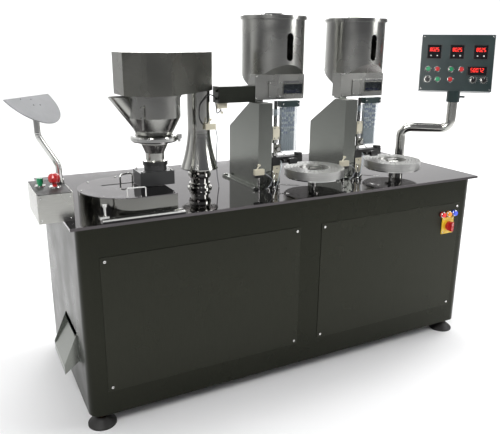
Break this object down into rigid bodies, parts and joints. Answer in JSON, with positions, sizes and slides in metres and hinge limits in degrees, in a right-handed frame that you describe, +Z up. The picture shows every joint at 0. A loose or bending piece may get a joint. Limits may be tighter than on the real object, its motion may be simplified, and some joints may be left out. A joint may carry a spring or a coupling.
{
  "type": "capsule filling machine",
  "caption": "Semi-automatic capsule filler: cabinet with mirror work top, capsule loaders over ring turntables, swinging auger filling head, console on a bent post.",
  "frame": {"origin": "centre of the bounding box on the floor plane, under the feet", "axes": "+X to the machine's right end where the console stands, +Y to its back, +Z up"},
  "size_m": [2.3062, 0.866, 1.533],
  "materials": {
    "cabinet_steel": "vertical brushed grain",
    "panel_steel": "vertical brushed grain",
    "mirror_top": "mirror polished",
    "polished_steel": "polished",
    "satin_steel": "satin",
    "dark_steel": "brushed",
    "frame_paint": "matt",
    "foot_rubber": "moulded",
    "screw_steel": "polished",
    "switch_yellow": "moulded",
    "switch_red": "moulded",
    "lamp_lens": "moulded lens",
    "button_green": "moulded",
    "button_red": "moulded",
    "plate_grey": "satin",
    "motor_grey": "semi gloss",
    "block_grey": "machined",
    "black_plastic": "machined",
    "ivory_plastic": "machined",
    "clear_acrylic": "clear",
    "plate_zinc": "plated",
    "ring_steel": "ground",
    "console_paint": "fine texture",
    "knob_black": "moulded"
  },
  "bodies": {
    "machine": {"base_frame": "frame_paint", "cabinet_shell": "cabinet_steel", "table_top": "mirror_top", "front_panels": "panel_steel", "panel_screws": "screw_steel", "levelling_feet": "foot_rubber", "main_switch_plate": "switch_yellow", "pilot_lamps": "lamp_lens", "discharge_chute": "satin_steel", "operator_box": "satin_steel", "filling_housing": "mirror_top", "filling_cover": "mirror_top", "ring_rail": "polished_steel", "pillar": "polished_steel", "bridge_arm": "dark_steel", "limit_switches": "ivory_plastic", "turntable_drives": "motor_grey", "electrical_plate": "plate_zinc", "vacuum_pump": "motor_grey", "panel_post": "polished_steel", "loader_1_column": "satin_steel", "loader_1_hopper": "satin_steel", "loader_1_shoe": "black_plastic", "loader_2_column": "satin_steel", "loader_2_hopper": "satin_steel", "loader_2_shoe": "black_plastic"},
    "main_switch": {"main_switch_knob": "switch_red"},
    "start": {"start_button": "button_green"},
    "stop": {"stop_button": "button_red"},
    "arm": {"shield_arm": "polished_steel"},
    "shield": {"shield_plate": "plate_grey"},
    "filling_head": {"head_plate": "dark_steel", "head_cover": "dark_steel", "auger_motor": "motor_grey", "powder_hopper": "polished_steel", "hopper_clamp": "polished_steel", "filling_throat": "polished_steel", "dosing_shoe": "block_grey"},
    "auger_shaft": {"auger": "polished_steel"},
    "filling_table": {"filling_turntable": "satin_steel"},
    "console": {"console_box": "console_paint"},
    "selector": {"console_selector": "knob_black"},
    "table_1": {"turntable_1": "polished_steel"},
    "capsule_ring_1": {"ring_1": "ring_steel"},
    "lid_1": {"loader_1_lid": "polished_steel"},
    "magazine_1": {"loader_1_magazine": "clear_acrylic"},
    "pusher_1": {"loader_1_pusher": "black_plastic"},
    "knob_1": {"console_knob_1": "knob_black"},
    "table_2": {"turntable_2": "polished_steel"},
    "capsule_ring_2": {"ring_2": "ring_steel"},
    "lid_2": {"loader_2_lid": "polished_steel"},
    "magazine_2": {"loader_2_magazine": "clear_acrylic"},
    "pusher_2": {"loader_2_pusher": "black_plastic"},
    "knob_2": {"console_knob_2": "knob_black"},
    "button_1": {"console_button_1": "button_green"},
    "button_2": {"console_button_2": "button_red"},
    "button_3": {"console_button_3": "button_green"},
    "button_4": {"console_button_4": "button_red"},
    "button_5": {"console_button_5": "button_green"},
    "button_6": {"console_button_6": "button_red"}
  },
  "joints": [
    {"name": "main_switch_turn", "type": "hinge", "parent": "machine", "child": "main_switch", "pos_m": [0.73226, -0.397, 0.583], "axis": [0, -1, 0], "range_deg": [0, 90]},
    {"name": "start_press", "type": "slide", "parent": "machine", "child": "start", "axis": [0, 0, -1], "range_m": [0, 0.005], "stiffness_N_per_m": 400, "springref_m": -0.002},
    {"name": "stop_press", "type": "slide", "parent": "machine", "child": "stop", "axis": [0, 0, -1], "range_m": [0, 0.005]},
    {"name": "shield_arm_swivel", "type": "hinge", "parent": "machine", "child": "arm", "pos_m": [-0.98674, -0.155, 0.91], "axis": [0, 0, 1], "range_deg": [-60, 60]},
    {"name": "shield_tilt", "type": "hinge", "parent": "arm", "child": "shield", "pos_m": [-1.04674, -0.155, 1.175], "axis": [0.6561, 0.7547, 0], "range_deg": [-20, 20]},
    {"name": "head_swing", "type": "hinge", "parent": "machine", "child": "filling_head", "pos_m": [-0.39574, -0.053, 1.22], "axis": [0, 0, 1], "range_deg": [-60, 0]},
    {"name": "auger_spin", "type": "hinge", "parent": "filling_head", "child": "auger_shaft", "pos_m": [-0.62974, -0.173, 1.11], "axis": [0, 0, 1], "continuous": true},
    {"name": "filling_turntable_spin", "type": "hinge", "parent": "machine", "child": "filling_table", "pos_m": [-0.74474, -0.173, 0.81], "axis": [0, 0, 1], "continuous": true},
    {"name": "turntable_1_spin", "type": "hinge", "parent": "machine", "child": "table_1", "pos_m": [0.07926, -0.217, 0.85], "axis": [0, 0, 1], "continuous": true},
    {"name": "ring_1_lift", "type": "slide", "parent": "table_1", "child": "capsule_ring_1", "axis": [0, 0, 1], "range_m": [0, 0.02]},
    {"name": "lid_1_lift", "type": "slide", "parent": "machine", "child": "lid_1", "axis": [0, 0, 1], "range_m": [0, 0.05]},
    {"name": "magazine_1_stroke", "type": "slide", "parent": "machine", "child": "magazine_1", "axis": [0, 0, 1], "range_m": [-0.018, 0]},
    {"name": "pusher_1_stroke", "type": "slide", "parent": "machine", "child": "pusher_1", "axis": [0, 1, 0], "range_m": [0, 0.014]},
    {"name": "turntable_2_spin", "type": "hinge", "parent": "machine", "child": "table_2", "pos_m": [0.51826, -0.217, 0.85], "axis": [0, 0, 1], "continuous": true},
    {"name": "ring_2_lift", "type": "slide", "parent": "table_2", "child": "capsule_ring_2", "axis": [0, 0, 1], "range_m": [0, 0.02]},
    {"name": "lid_2_lift", "type": "slide", "parent": "machine", "child": "lid_2", "axis": [0, 0, 1], "range_m": [0, 0.05]},
    {"name": "magazine_2_stroke", "type": "slide", "parent": "machine", "child": "magazine_2", "axis": [0, 0, 1], "range_m": [-0.018, 0]},
    {"name": "pusher_2_stroke", "type": "slide", "parent": "machine", "child": "pusher_2", "axis": [0, 1, 0], "range_m": [0, 0.014]},
    {"name": "console_swivel", "type": "hinge", "parent": "machine", "child": "console", "pos_m": [0.96611, -0.12827, 1.15], "axis": [0, 0, 1], "range_deg": [-45, 45]},
    {"name": "console_button_1_press", "type": "slide", "parent": "console", "child": "button_1", "axis": [0.6287, 0.7493, -0.2079], "range_m": [0, 0.004], "stiffness_N_per_m": 400, "springref_m": -0.002},
    {"name": "console_button_2_press", "type": "slide", "parent": "console", "child": "button_2", "axis": [0.6287, 0.7493, -0.2079], "range_m": [0, 0.004], "stiffness_N_per_m": 400, "springref_m": -0.002},
    {"name": "console_button_3_press", "type": "slide", "parent": "console", "child": "button_3", "axis": [0.6287, 0.7493, -0.2079], "range_m": [0, 0.004], "stiffness_N_per_m": 400, "springref_m": -0.002},
    {"name": "console_button_4_press", "type": "slide", "parent": "console", "child": "button_4", "axis": [0.6287, 0.7493, -0.2079], "range_m": [0, 0.004], "stiffness_N_per_m": 400, "springref_m": -0.002},
    {"name": "console_button_5_press", "type": "slide", "parent": "console", "child": "button_5", "axis": [0.6287, 0.7493, -0.2079], "range_m": [0, 0.004], "stiffness_N_per_m": 400, "springref_m": -0.002},
    {"name": "console_button_6_press", "type": "slide", "parent": "console", "child": "button_6", "axis": [0.6287, 0.7493, -0.2079], "range_m": [0, 0.004], "stiffness_N_per_m": 400, "springref_m": -0.002},
    {"name": "console_selector_turn", "type": "hinge", "parent": "console", "child": "selector", "pos_m": [0.85257, -0.05355, 1.2416], "axis": [-0.6287, -0.7493, 0.2079], "range_deg": [-45, 45]},
    {"name": "console_knob_1_turn", "type": "hinge", "parent": "console", "child": "knob_1", "pos_m": [1.01957, -0.19368, 1.2416], "axis": [-0.6287, -0.7493, 0.2079], "range_deg": [-150, 150]},
    {"name": "console_knob_2_turn", "type": "hinge", "parent": "console", "child": "knob_2", "pos_m": [1.05787, -0.22582, 1.2416], "axis": [-0.6287, -0.7493, 0.2079], "range_deg": [-150, 150]}
  ],
  "couplings": [
    {"joint": "pusher_1_stroke", "follows": "magazine_1_stroke", "ratio": -0.77778},
    {"joint": "pusher_2_stroke", "follows": "magazine_2_stroke", "ratio": -0.77778}
  ]
}
